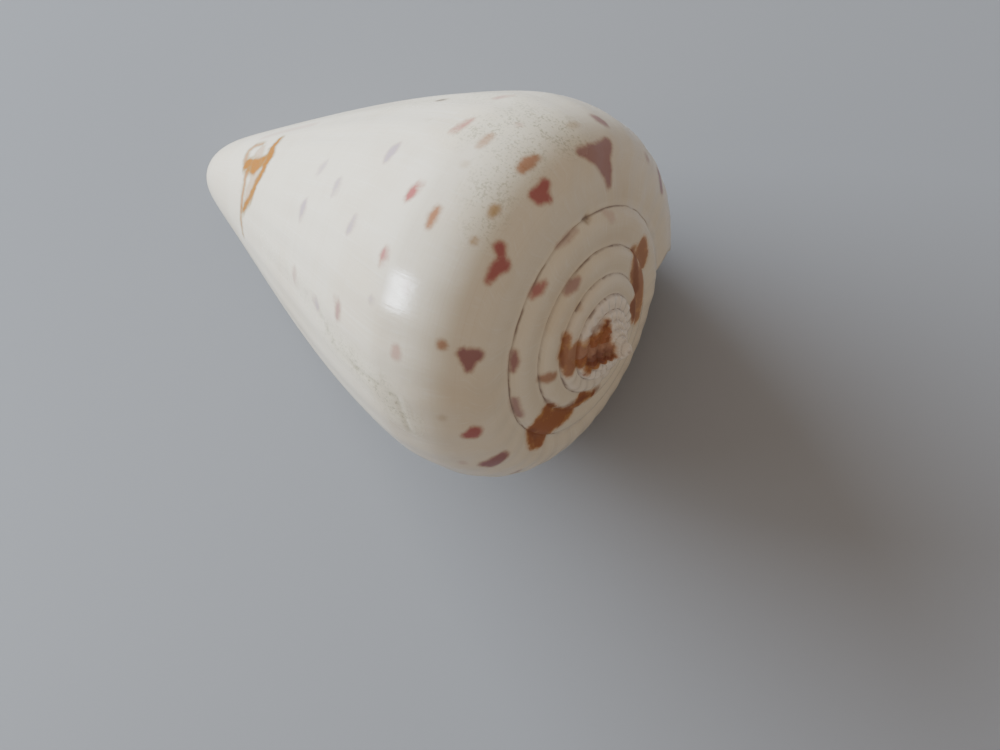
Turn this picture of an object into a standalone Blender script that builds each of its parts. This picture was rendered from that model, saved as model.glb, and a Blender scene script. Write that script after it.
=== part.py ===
"""Cone shell: an empty, right-handed sea-snail shell, lying on its side with the mouth down.

The shell is one coiled tube whose whorls wrap over each other. Its outer face follows a profile
that turns about the axis and shrinks with every turn back from the lip. The profile runs from the
suture, over the rounded shoulder, down the side to the front tip. Of the older whorls only a sloping
band shows, and these bands make the spire. The mouth opens into a hollow that goes on coiling
inwards between each whorl and the one before it.

Metres, +Z up. The shell rests on Z = 0, with the origin under the middle of its bounding box. The
spire points to +X and the front tip to -X.
"""
import math

import bmesh
import bpy
import numpy as np
from mathutils import Matrix

# Whole shell, measured along the coiling axis from the apex
LENGTH = 0.070

# Widest part of the body whorl at the lip, and how it shrinks with each turn back
SHOULDER_RADIUS = 0.02565
SHOULDER_DEPTH = 0.0194
SHOULDER_SHRINK = 1.37
TIP_SHRINK_MORE = 0.8
TIP_SHRINK_POWER = 2.3
DEPTH_SHRINK = 1.199

# Suture at the lip, where a whorl's upper edge meets the whorl before it
SUTURE_RADIUS = 0.01575
SUTURE_DEPTH = 0.0072
SUTURE_SHRINK = 1.394

# Roundness of the shoulder: 1 is an ellipse, less is squarer
SHOULDER_ROUND = 0.767

# Side of the cone: how much it has tapered by the tip, and how late the tip rounds off
TAPER = 0.82
TAPER_POWER = 1.305
TIP_SQUARENESS = 32

# Outer share of each spire band that bends down to the suture
BAND_EDGE = 0.22

# Share of a turn in which that edge fades in, just before a whorl is covered
EDGE_FADE = 0.06

# Curve of the lip and of every growth line, in turns: set back on a band, bowed forward on the side
BAND_SINUS = 0.012
SIDE_BOW = 0.014

# Wall and hollow
WALL = 0.0028
LIP_EDGE = 0.0012
LIP_TAPER_TURNS = 0.06
INNER_WALL = 0.0012
WALL_SHARE_OF_GAP = 0.42
HOLLOW_TURNS = 1.8
HOLLOW_CORNER = 0.64
HOLLOW_END = 0.985
HOLLOW_END_RETREAT = 0.22
INNER_FACE_LEAD = 0.12
INNER_FACE_END_GAP = 0.006

# How it lies: rise of the axis above the table, and the lip's place round the axis from straight down
AXIS_RISE = math.radians(16.52)
LIP_FROM_DOWN = math.radians(49.99)

# Faceting
STEPS_PER_TURN = 44
SPIRE_TURNS = 6
BAND_STATIONS = (0.0, 0.3, 0.6, 0.82, 0.95, 1.0)
UNDER_STEPS = 2
SHOULDER_STEPS = 3
SIDE_STEPS = 11
TIP_STATIONS = (0.993, 0.998)

# Columns of a profile row at which the bare band ends, the hollow begins and the hollow ends
BAND_COLUMN = len(BAND_STATIONS) - 1
CORNER_COLUMN = BAND_COLUMN + UNDER_STEPS
END_COLUMN = CORNER_COLUMN + SHOULDER_STEPS + SIDE_STEPS

# Worn, creamy shell
SHELL_COLOUR = (0.78, 0.74, 0.66, 1.0)
SHELL_ROUGHNESS = 0.38


def smooth_step(x):
    x = min(max(x, 0.0), 1.0)
    return x * x * (3 - 2 * x)


def crowd_ends(x):
    """Spreads even steps from 0 to 1 so that they lie closer at both ends, where the side curves most."""
    return (1 - math.cos(math.pi * x)) / 2


def suture(turn):
    """Radius and depth of the suture, some turns back from the lip."""
    return SUTURE_RADIUS * SUTURE_SHRINK ** -turn, SUTURE_DEPTH * DEPTH_SHRINK ** -turn


def shoulder(turn):
    """Radius and depth of the widest place of a whorl."""
    return SHOULDER_RADIUS * SHOULDER_SHRINK ** -turn, SHOULDER_DEPTH * DEPTH_SHRINK ** -turn


def top_depth(turn, share):
    """Depth of a whorl's top at a share of the way out from its suture to its widest place."""
    inner_depth = suture(turn)[1]
    outer_depth = shoulder(turn)[1]
    power = 2 / SHOULDER_ROUND
    rise = (1 - min(share, 1.0) ** power) ** (SHOULDER_ROUND / 2)
    return outer_depth + (inner_depth - outer_depth) * rise


def cover_share(turn):
    """Share of a whorl's top that stays bare when the next whorl has grown over the rest."""
    inner = suture(turn)[0]
    return (suture(turn - 1)[0] - inner) / (shoulder(turn)[0] - inner)


def cover_station(turn):
    return 1 - math.acos(cover_share(turn) ** (1 / SHOULDER_ROUND)) / (math.pi / 2)


def side_radius(turn, q):
    """Radius of a whorl's side at a share q of the way from its widest place to the tip."""
    shrink = SHOULDER_SHRINK + TIP_SHRINK_MORE * q ** TIP_SHRINK_POWER
    taper = (1 - TAPER * q ** TAPER_POWER) * math.sqrt(max(1 - q ** TIP_SQUARENESS, 0.0))
    return SHOULDER_RADIUS * taper * shrink ** -turn


def profile(turn, station):
    """Radius and height of a whorl's outer face.

    The station is 0 at the suture, 1 at the widest place and 2 at the front tip."""
    wide, depth = shoulder(turn)
    if station > 1:
        q = station - 1
        return side_radius(turn, q), -depth - (LENGTH - depth) * q
    inner = suture(turn)[0]
    share = math.cos((1 - station) * math.pi / 2) ** SHOULDER_ROUND
    height = -top_depth(turn, share)
    cover = cover_share(turn)
    edge = (share / cover - 1 + BAND_EDGE) / BAND_EDGE
    if edge > 0:
        drop = suture(turn - 1)[1] - top_depth(turn, cover)
        fade = smooth_step((turn - 1 + EDGE_FADE) / EDGE_FADE)
        height -= drop * fade * (1 - math.sqrt(max(1 - min(edge, 1.0) ** 2, 0.0)))
    return inner + (wide - inner) * share, height


def growth_shift(turn, station):
    """How far a growth line lies ahead of or behind its own turn, in turns."""
    bare = cover_station(turn)
    if station < bare:
        return BAND_SINUS * math.sin(math.pi * station / bare)
    if station > 1:
        return -SIDE_BOW * math.sin(math.pi * (station - 1))
    return 0.0


def place(turn, radius, height):
    angle = 2 * math.pi * turn
    return radius * math.cos(angle), radius * math.sin(angle), height


def outer_point(turn, station):
    shifted = turn + growth_shift(turn, station)
    radius, height = profile(shifted, station)
    return place(shifted, radius, height)


def wall_thickness(turn, station):
    """Wall of the whorl: thin at the lip, full behind it, thinner again on the inner whorls."""
    full = WALL + (INNER_WALL - WALL) * smooth_step(turn)
    near_lip = smooth_step(turn / LIP_TAPER_TURNS)
    wall = LIP_EDGE + (full - LIP_EDGE) * near_lip
    if station > 1:
        q = station - 1
        wall = min(wall, WALL_SHARE_OF_GAP * (side_radius(turn, q) - side_radius(turn + 1, q)))
    return wall


def inner_point(turn, station):
    """A point of the hollow's outer wall: the outer face moved in by the wall's thickness."""
    shifted = turn + growth_shift(turn, station)
    near = 0.01
    r0, z0 = profile(shifted, station - near)
    r1, z1 = profile(shifted, station + near)
    radius, height = profile(shifted, station)
    run = math.hypot(r1 - r0, z1 - z0)
    wall = wall_thickness(turn, station)
    return place(shifted, radius + wall * (z1 - z0) / run, height - wall * (r1 - r0) / run)


def hollow_end(turn):
    """Station at which the hollow ends towards the tip. It draws back on the inner whorls."""
    return 1 + HOLLOW_END - HOLLOW_END_RETREAT * max(turn - 1, 0.0)


def outer_stations(turn):
    """Stations of the whole outer profile, without the pole at the tip."""
    bare = cover_station(turn)
    shares = [x * cover_share(turn) for x in BAND_STATIONS]
    band = [1 - math.acos(x ** (1 / SHOULDER_ROUND)) / (math.pi / 2) for x in shares]
    under = [bare + (HOLLOW_CORNER - bare) * (k + 1) / UNDER_STEPS for k in range(UNDER_STEPS)]
    rest = 1 - HOLLOW_CORNER
    round_part = [HOLLOW_CORNER + rest * (k + 1) / SHOULDER_STEPS for k in range(SHOULDER_STEPS)]
    end = hollow_end(turn)
    side = [1 + (end - 1) * crowd_ends((k + 1) / SIDE_STEPS) for k in range(SIDE_STEPS)]
    tip = [1 + q for q in TIP_STATIONS]
    return band + under + round_part + side + tip


def inner_stations(turn):
    """Stations of the hollow's outer wall, between the two edges that it shares with its floor."""
    start = HOLLOW_CORNER - INNER_FACE_LEAD
    round_part = [start + (1 - start) * k / (SHOULDER_STEPS + 1) for k in range(SHOULDER_STEPS + 1)]
    end = hollow_end(turn + 1) - INNER_FACE_END_GAP
    side = [1 + (end - 1) * crowd_ends(k / SIDE_STEPS) for k in range(SIDE_STEPS + 1)]
    return round_part + side


class ShellMesh:
    """Rows of vertices that are joined into one closed skin."""

    def __init__(self):
        self.points = []
        self.faces = []

    def add(self, point):
        self.points.append(point)
        return len(self.points) - 1

    def weave(self, first, second):
        """Faces between two rows of the same length."""
        for k in range(len(first) - 1):
            corners = [first[k], second[k], second[k + 1], first[k + 1]]
            self.faces.append([c for n, c in enumerate(corners) if c not in corners[:n]])

    def zip_up(self, first, second):
        """Triangles between two rows that start and end at the same vertices."""
        where = np.array(self.points)
        i, j = 0, 0
        while i < len(first) - 1 or j < len(second) - 1:
            go_first = math.inf
            go_second = math.inf
            if i < len(first) - 1:
                go_first = np.linalg.norm(where[first[i + 1]] - where[second[j]])
            if j < len(second) - 1:
                go_second = np.linalg.norm(where[second[j + 1]] - where[first[i]])
            if go_first <= go_second:
                corners = {first[i], first[i + 1], second[j]}
                i += 1
            else:
                corners = {first[i], second[j], second[j + 1]}
                j += 1
            if len(corners) == 3:
                self.faces.append(sorted(corners))


def coil_rows(mesh):
    """Vertex rows of the outer face, the spire bands, the hollow's floor and its outer wall."""
    steps = STEPS_PER_TURN

    outer = []
    for step in range(steps + 1):
        turn = step / steps
        row = [mesh.add(outer_point(turn, s)) for s in outer_stations(turn)]
        if step == steps:
            row[BAND_COLUMN] = outer[0][0]
        outer.append(row)

    bands = [outer[steps][:BAND_COLUMN + 1]]
    for step in range(steps + 1, SPIRE_TURNS * steps + 1):
        turn = step / steps
        row = [mesh.add(outer_point(turn, s)) for s in outer_stations(turn)[:BAND_COLUMN]]
        older = step - steps
        row.append(outer[older][0] if older <= steps else bands[older - steps][0])
        bands.append(row)

    floor = [outer[steps][CORNER_COLUMN:END_COLUMN + 1]]
    inner = []
    for step in range(round(HOLLOW_TURNS * steps) + 1):
        turn = step / steps
        if step:
            stations = outer_stations(turn + 1)[CORNER_COLUMN:END_COLUMN + 1]
            floor.append([mesh.add(outer_point(turn + 1, s)) for s in stations])
        middle = [mesh.add(inner_point(turn, s)) for s in inner_stations(turn)]
        inner.append([floor[step][0]] + middle + [floor[step][-1]])
    return outer, bands, floor, inner


def build_shell_mesh():
    """The shell about its axis: apex at the origin, tip on -Z, lip at angle 0."""
    mesh = ShellMesh()
    outer, bands, floor, inner = coil_rows(mesh)
    for rows in (outer, bands, floor, inner):
        for first, second in zip(rows, rows[1:]):
            mesh.weave(first, second)

    tip = mesh.add((0.0, 0.0, -LENGTH))
    for first, second in zip(outer, outer[1:]):
        mesh.faces.append([first[-1], second[-1], tip])

    lip = outer[0] + [tip]
    covered = outer[-1][BAND_COLUMN:CORNER_COLUMN] + inner[0] + outer[-1][END_COLUMN + 1:] + [tip]
    mesh.zip_up(lip, covered)
    mesh.zip_up(inner[-1], floor[-1])

    apex = mesh.add((0.0, 0.0, 0.0))
    last_turn = [row[0] for row in bands[-1 - STEPS_PER_TURN:]]
    rim = last_turn + bands[-1][1:-1]
    for here, there in zip(rim, rim[1:] + rim[:1]):
        mesh.faces.append([here, there, apex])
    return mesh


def resting_pose():
    """Turns the axis from upright to lying, with the lip a given way round from straight down."""
    lip_down = Matrix.Rotation(LIP_FROM_DOWN, 4, "Z")
    lay = Matrix.Rotation(math.pi / 2 - AXIS_RISE, 4, "Y")
    return lay @ lip_down


def shell_material():
    material = bpy.data.materials.new("worn_shell")
    material.use_nodes = True
    shader = material.node_tree.nodes["Principled BSDF"]
    shader.inputs["Base Color"].default_value = SHELL_COLOUR
    shader.inputs["Roughness"].default_value = SHELL_ROUGHNESS
    return material


def make_shell():
    woven = build_shell_mesh()
    points = np.array(woven.points)
    pose = np.array(resting_pose())[:3, :3]
    points = points @ pose.T
    low = points.min(axis=0)
    high = points.max(axis=0)
    points -= ((low[0] + high[0]) / 2, (low[1] + high[1]) / 2, low[2])

    bm = bmesh.new()
    verts = [bm.verts.new(p) for p in points]
    for face in woven.faces:
        bm.faces.new([verts[k] for k in face])
    loose = [v for v in bm.verts if not v.link_faces]
    bmesh.ops.delete(bm, geom=loose, context="VERTS")
    bmesh.ops.recalc_face_normals(bm, faces=bm.faces)
    mesh = bpy.data.meshes.new("shell")
    bm.to_mesh(mesh)
    bm.free()

    mesh.materials.append(shell_material())
    mesh.shade_smooth()
    mesh.set_sharp_from_angle(angle=math.radians(40))
    shell = bpy.data.objects.new("shell", mesh)
    bpy.context.collection.objects.link(shell)
    return shell


for thing in list(bpy.data.objects):
    bpy.data.objects.remove(thing)
make_shell()
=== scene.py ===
import math

import bpy
import numpy as np
from mathutils import Matrix, Vector


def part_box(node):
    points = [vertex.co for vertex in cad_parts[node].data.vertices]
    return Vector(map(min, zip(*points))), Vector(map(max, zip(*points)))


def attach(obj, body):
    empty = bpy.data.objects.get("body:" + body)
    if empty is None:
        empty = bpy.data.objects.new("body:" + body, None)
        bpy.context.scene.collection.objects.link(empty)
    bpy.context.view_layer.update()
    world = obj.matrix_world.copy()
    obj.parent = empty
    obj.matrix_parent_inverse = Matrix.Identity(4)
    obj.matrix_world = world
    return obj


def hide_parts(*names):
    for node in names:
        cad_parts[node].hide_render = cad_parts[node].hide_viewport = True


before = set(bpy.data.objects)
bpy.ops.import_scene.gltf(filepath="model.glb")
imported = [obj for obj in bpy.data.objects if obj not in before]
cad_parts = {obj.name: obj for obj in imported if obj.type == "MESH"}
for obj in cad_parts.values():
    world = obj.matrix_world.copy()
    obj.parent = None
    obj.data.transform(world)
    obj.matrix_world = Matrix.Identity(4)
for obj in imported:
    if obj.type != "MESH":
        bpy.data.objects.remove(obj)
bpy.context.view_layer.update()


# Camera, at the photograph's angle

photoView = {
    "width": 1000, "height": 750,              # frame of the photograph, in pixels
    "lens": 43.1, "sensor": 36.0,              # mm
    "place": (0.05462, -0.0243, 0.15387),      # metres
    "heading": 67.47,                          # degrees anticlockwise from +Y, seen from above
    "elevation": 74.65,                        # degrees that the camera looks down
    "roll": -38.94,
    "nearClip": 0.005,
}


def viewAxes():
    heading = math.radians(photoView["heading"])
    dip = math.radians(photoView["elevation"])
    roll = math.radians(photoView["roll"])
    ahead = Vector((-math.sin(heading) * math.cos(dip), math.cos(heading) * math.cos(dip), -math.sin(dip)))
    levelRight = ahead.cross(Vector((0, 0, 1))).normalized()
    levelUp = levelRight.cross(ahead)
    right = levelRight * math.cos(roll) + levelUp * math.sin(roll)
    return right, right.cross(ahead), ahead


def makeCamera():
    right, up, ahead = viewAxes()
    data = bpy.data.cameras.new("photoCamera")
    data.lens = photoView["lens"]
    data.sensor_width = photoView["sensor"]
    data.clip_start = photoView["nearClip"]
    camera = bpy.data.objects.new("photoCamera", data)
    turned = Matrix((right, up, -ahead)).transposed().to_4x4()
    camera.matrix_world = Matrix.Translation(photoView["place"]) @ turned
    bpy.context.collection.objects.link(camera)
    bpy.context.scene.camera = camera


def focalPixels():
    return photoView["lens"] / photoView["sensor"] * photoView["width"]


def pixelRay(x, y):
    # direction from the camera through a pixel of the photograph
    right, up, ahead = viewAxes()
    across = (x - photoView["width"] / 2) / focalPixels()
    down = (y - photoView["height"] / 2) / focalPixels()
    return (ahead + right * across - up * down).normalized()


makeCamera()
print("camera placed")


# Node helpers: arithmetic on node sockets

class Flow:
    # a number that runs through a node tree
    def __init__(self, tree, socket):
        self.tree = tree
        self.socket = socket

    def calc(self, operation, *others):
        node = self.tree.nodes.new("ShaderNodeMath")
        node.operation = operation
        for slot, value in zip(node.inputs, (self,) + others):
            feed(self.tree, slot, value)
        return Flow(self.tree, node.outputs[0])

    def __add__(self, other):
        return self.calc("ADD", other)

    __radd__ = __add__

    def __sub__(self, other):
        return self.calc("SUBTRACT", other)

    def __rsub__(self, other):
        return self.calc("MULTIPLY_ADD", -1.0, other)

    def __mul__(self, other):
        return self.calc("MULTIPLY", other)

    __rmul__ = __mul__

    def __truediv__(self, other):
        return self.calc("DIVIDE", other)

    def __pow__(self, other):
        return self.calc("POWER", other)

    def __neg__(self):
        return self.calc("MULTIPLY", -1.0)

    def least(self, other):
        return self.calc("MINIMUM", other)

    def most(self, other):
        return self.calc("MAXIMUM", other)

    def clamped(self, low=0.0, high=1.0):
        return self.most(low).least(high)

    def smooth(self, low=0.0, high=1.0):
        # 0 below low, 1 above high, with a soft start and end
        node = self.tree.nodes.new("ShaderNodeMapRange")
        node.interpolation_type = "SMOOTHSTEP"
        feed(self.tree, node.inputs["Value"], self)
        feed(self.tree, node.inputs["From Min"], low)
        feed(self.tree, node.inputs["From Max"], high)
        return Flow(self.tree, node.outputs["Result"])


def feed(tree, slot, value):
    if isinstance(value, Flow):
        tree.links.new(value.socket, slot)
    elif value is not None:
        slot.default_value = value


def vectorOf(tree, x=0.0, y=0.0, z=0.0):
    node = tree.nodes.new("ShaderNodeCombineXYZ")
    for slot, value in zip(node.inputs, (x, y, z)):
        feed(tree, slot, value)
    return Flow(tree, node.outputs[0])


def partsOf(tree, vector):
    node = tree.nodes.new("ShaderNodeSeparateXYZ")
    feed(tree, node.inputs[0], vector)
    return [Flow(tree, out) for out in node.outputs]


def addSocket(tree, name, direction, kind="NodeSocketFloat", default=None):
    socket = tree.interface.new_socket(name=name, in_out=direction, socket_type=kind)
    if default is not None:
        socket.default_value = default


def useGroup(tree, group, values):
    node = tree.nodes.new("GeometryNodeGroup")
    node.node_tree = group
    for name, value in values.items():
        feed(tree, node.inputs[name], value)
    return {out.name: Flow(tree, out) for out in node.outputs}


# Shell shape: one profile that coils and shrinks, sized as the CAD node, with a shallower hollow

# Lengths in metres. Radii and depths are those at the lip, and shrinks are ratios for each turn back
coil = {
    "Length": 0.070,                           # apex to front tip, along the axis
    "Shoulder Radius": 0.02565, "Shoulder Depth": 0.0194,
    "Shoulder Shrink": 1.37, "Tip Shrink More": 0.8, "Tip Shrink Power": 2.3,
    "Depth Shrink": 1.199,
    "Suture Radius": 0.01575, "Suture Depth": 0.0072, "Suture Shrink": 1.394,
    "Shoulder Round": 0.767,                   # 1 is an ellipse, less is squarer
    "Taper": 0.82, "Taper Power": 1.305,       # share of the radius lost at the front tip
    "Tip Squareness": 32.0,
    "Band Edge": 0.22, "Edge Fade": 0.06,      # where the band turns down into the newer suture
    "Band Crest": 0.12,                        # its swelling, as a share of its width
    "Band Sinus": 0.012, "Side Bow": 0.014,    # turns by which a growth line bends
    "Wall": 0.0028, "Lip Edge": 0.0012, "Lip Taper": 0.06, "Inner Wall": 0.0012,
    "Gap Share": 0.42,                         # most of the room between two whorls that a wall fills
    "Hollow Turns": 1.0, "Hollow Corner": 0.64, "Hollow End": 0.985, "End Retreat": 0.22,
    "Log Turns": 6.0, "Spire Turns": 9.0,      # past the first the spire is a plain cone up to the last
}
coilGrain = {
    "stepsPerTurn": 270,                       # along the coil
    "bandColumns": 10, "sideColumns": 74, "tipColumns": 6, "lipColumns": 5,   # across it
    "lipBulge": 0.00035,                       # how far the lip's rounded edge stands forward
    "weld": 0.0000015, "fitMargin": 0.00004,
    "axisRise": 16.52, "lipFromDown": 49.99,   # degrees, how the shell lies
    "crestIn": 1.7, "crestOut": 0.7, "crestGain": 2.93,   # swelling of the band, fuller near its outer edge
    "apexRound": 0.6,                          # how the last turn closes on the axis
    "axisClear": 0.0005,                       # least radius that a step forward is measured at
    "sideCrowding": 0.4,                       # how much closer the side's columns stand at its two ends
    "sinkTurns": 0.2,                          # stretch over which the hollow closes at its deep end
    "cornerPower": 1.6, "endJoinFrom": 0.97,   # where the hollow's wall meets its floor
    "bulgeRise": 3.0,                          # how fast the lip's rounding grows away from the suture
}


def coilInputs(tree):
    for name, value in coil.items():
        addSocket(tree, name, "INPUT", default=value)


def groupStart(name, extra, outputs):
    # a node group that takes its own inputs and every size of the coil
    tree = bpy.data.node_groups.new(name, "GeometryNodeTree")
    for label in extra:
        addSocket(tree, label, "INPUT")
    coilInputs(tree)
    for label in outputs:
        addSocket(tree, label, "OUTPUT")
    given = tree.nodes.new("NodeGroupInput")
    return tree, {out.name: Flow(tree, out) for out in given.outputs if out.name}


def groupEnd(tree, results):
    out = tree.nodes.new("NodeGroupOutput")
    for name, value in results.items():
        feed(tree, out.inputs[name], value)
    return tree


def sutureAt(g, turn):
    # radius and depth of the suture. The last turn closes on the axis
    shrink = g["Suture Shrink"]
    radius = g["Suture Radius"] * shrink ** -turn
    closing = (1.0 - (turn - g["Spire Turns"] + 1.0).clamped()) ** coilGrain["apexRound"]
    logPart = turn.least(g["Log Turns"])
    conePart = (turn - g["Log Turns"]).most(0.0)
    depth = g["Suture Depth"] * g["Depth Shrink"] ** -logPart * shrink ** -conePart
    return radius * closing, depth * closing


def shoulderAt(g, turn):
    radius = g["Shoulder Radius"] * g["Shoulder Shrink"] ** -turn
    return radius, g["Shoulder Depth"] * g["Depth Shrink"] ** -turn


def topDepth(g, inner, outer, share):
    # depth of the whorl's rounded top, from the suture (share 0) to the shoulder (share 1)
    rise = (1.0 - share.least(1.0) ** (g["Shoulder Round"] ** -1.0 * 2.0)).most(0.0)
    return outer + (inner - outer) * rise ** (g["Shoulder Round"] * 0.5)


def coverOf(g, turn):
    # share of a whorl's top that the next newer suture leaves bare
    inner = sutureAt(g, turn)[0]
    return (sutureAt(g, turn - 1.0)[0] - inner) / (shoulderAt(g, turn)[0] - inner)


def makeProfileGroup():
    # radius and height of a whorl's outer face; station 0 suture, 1 widest place, 2 front tip
    tree, g = groupStart("whorlProfile", ("Turn", "Station"), ("Radius", "Height", "Bare Station"))
    turn, station = g["Turn"], g["Station"]
    wide, depth = shoulderAt(g, turn)
    inner, innerDepth = sutureAt(g, turn)

    q = (station - 1.0).most(0.0)
    shrink = g["Shoulder Shrink"] + g["Tip Shrink More"] * q ** g["Tip Shrink Power"]
    rounding = (1.0 - q ** g["Tip Squareness"]).most(0.0) ** 0.5
    taper = 1.0 - g["Taper"] * q ** g["Taper Power"]
    sideRadius = g["Shoulder Radius"] * taper * rounding * shrink ** -turn
    sideHeight = -(depth + (g["Length"] - depth) * q)

    share = ((1.0 - station).most(0.0) * (math.pi / 2)).calc("COSINE") ** g["Shoulder Round"]
    cover = coverOf(g, turn)
    edge = ((share / cover - 1.0 + g["Band Edge"]) / g["Band Edge"]).clamped()
    drop = sutureAt(g, turn - 1.0)[1] - topDepth(g, innerDepth, depth, cover)
    fade = ((turn - 1.0 + g["Edge Fade"]) / g["Edge Fade"]).smooth()
    bend = 1.0 - (1.0 - edge * edge).most(0.0) ** 0.5
    topRadius = inner + (wide - inner) * share
    bandWidth = sutureAt(g, turn - 1.0)[0] - inner
    x = (share / cover).clamped()
    crest = (x ** coilGrain["crestIn"]) * ((1.0 - x) ** coilGrain["crestOut"]) * coilGrain["crestGain"]
    swelling = crest * g["Band Crest"] * bandWidth * fade
    topHeight = swelling - topDepth(g, innerDepth, depth, share) - drop * fade * bend

    onSide = station.calc("GREATER_THAN", 1.0)
    bare = 1.0 - (cover ** (g["Shoulder Round"] ** -1.0)).calc("ARCCOSINE") * (2 / math.pi)
    return groupEnd(tree, {
        "Radius": topRadius + (sideRadius - topRadius) * onSide,
        "Height": topHeight + (sideHeight - topHeight) * onSide,
        "Bare Station": bare,
    })


def makePointGroup(profileGroup):
    # a point of the shell: the profile turned about the axis, moved in by Inset, or forward by Ahead
    tree, g = groupStart("whorlPoint", ("Turn", "Station", "Inset", "Ahead"), ())
    addSocket(tree, "Point", "OUTPUT", "NodeSocketVector")
    sizes = {name: g[name] for name in coil}
    turn, station = g["Turn"], g["Station"]
    bare = useGroup(tree, profileGroup, {"Turn": turn, "Station": station, **sizes})["Bare Station"]
    onBand = station.calc("LESS_THAN", bare)
    sinus = g["Band Sinus"] * (station / bare * math.pi).calc("SINE") * onBand
    sinus = sinus * (g["Spire Turns"] - turn).clamped()
    bow = g["Side Bow"] * ((station - 1.0).most(0.0) * math.pi).calc("SINE")
    shifted = turn + sinus - bow
    found = useGroup(tree, profileGroup, {"Turn": shifted, "Station": station, **sizes})
    lean = station.least(1.0) * (math.pi / 2)
    radius = found["Radius"] - g["Inset"] * lean.calc("SINE")
    height = found["Height"] - g["Inset"] * lean.calc("COSINE")
    angle = shifted * (2 * math.pi) - g["Ahead"] / radius.most(coilGrain["axisClear"])
    point = vectorOf(tree, radius * angle.calc("COSINE"), radius * angle.calc("SINE"), height)
    return groupEnd(tree, {"Point": point})


def mixPoints(tree, amount, first, second):
    node = tree.nodes.new("ShaderNodeMix")
    node.data_type = "VECTOR"      # its sockets are 0 for the share, 4 and 5 for the two vectors
    feed(tree, node.inputs[0], amount)
    feed(tree, node.inputs[4], first)
    feed(tree, node.inputs[5], second)
    return Flow(tree, node.outputs[1])


def keepAttribute(tree, mesh, name, kind, domain, value):
    node = tree.nodes.new("GeometryNodeStoreNamedAttribute")
    node.data_type = kind
    node.domain = domain
    node.inputs["Name"].default_value = name
    tree.links.new(mesh, node.inputs["Geometry"])
    feed(tree, node.inputs["Value"], value)
    return node.outputs["Geometry"]


def sheet(tree, rows, columns, flip, build):
    # a grid whose corners are moved onto the shell. build(u, v) gives point, turn, station and inside
    grid = tree.nodes.new("GeometryNodeMeshGrid")
    sizes = {"Size X": 1.0, "Size Y": 1.0, "Vertices X": rows + 1, "Vertices Y": columns + 1}
    for name, value in sizes.items():
        grid.inputs[name].default_value = value
    x, y, _ = partsOf(tree, Flow(tree, tree.nodes.new("GeometryNodeInputPosition").outputs[0]))
    point, turn, station, inside = build(x + 0.5, y + 0.5)

    growth = vectorOf(tree, turn, station)
    last = keepAttribute(tree, grid.outputs["Mesh"], "growth", "FLOAT2", "CORNER", growth)
    last = keepAttribute(tree, last, "inside", "FLOAT", "POINT", inside)
    move = tree.nodes.new("GeometryNodeSetPosition")
    tree.links.new(last, move.inputs["Geometry"])
    feed(tree, move.inputs["Position"], point)
    last = move.outputs["Geometry"]
    if flip:
        turned = tree.nodes.new("GeometryNodeFlipFaces")
        tree.links.new(last, turned.inputs["Mesh"])
        last = turned.outputs["Mesh"]
    return last


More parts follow.
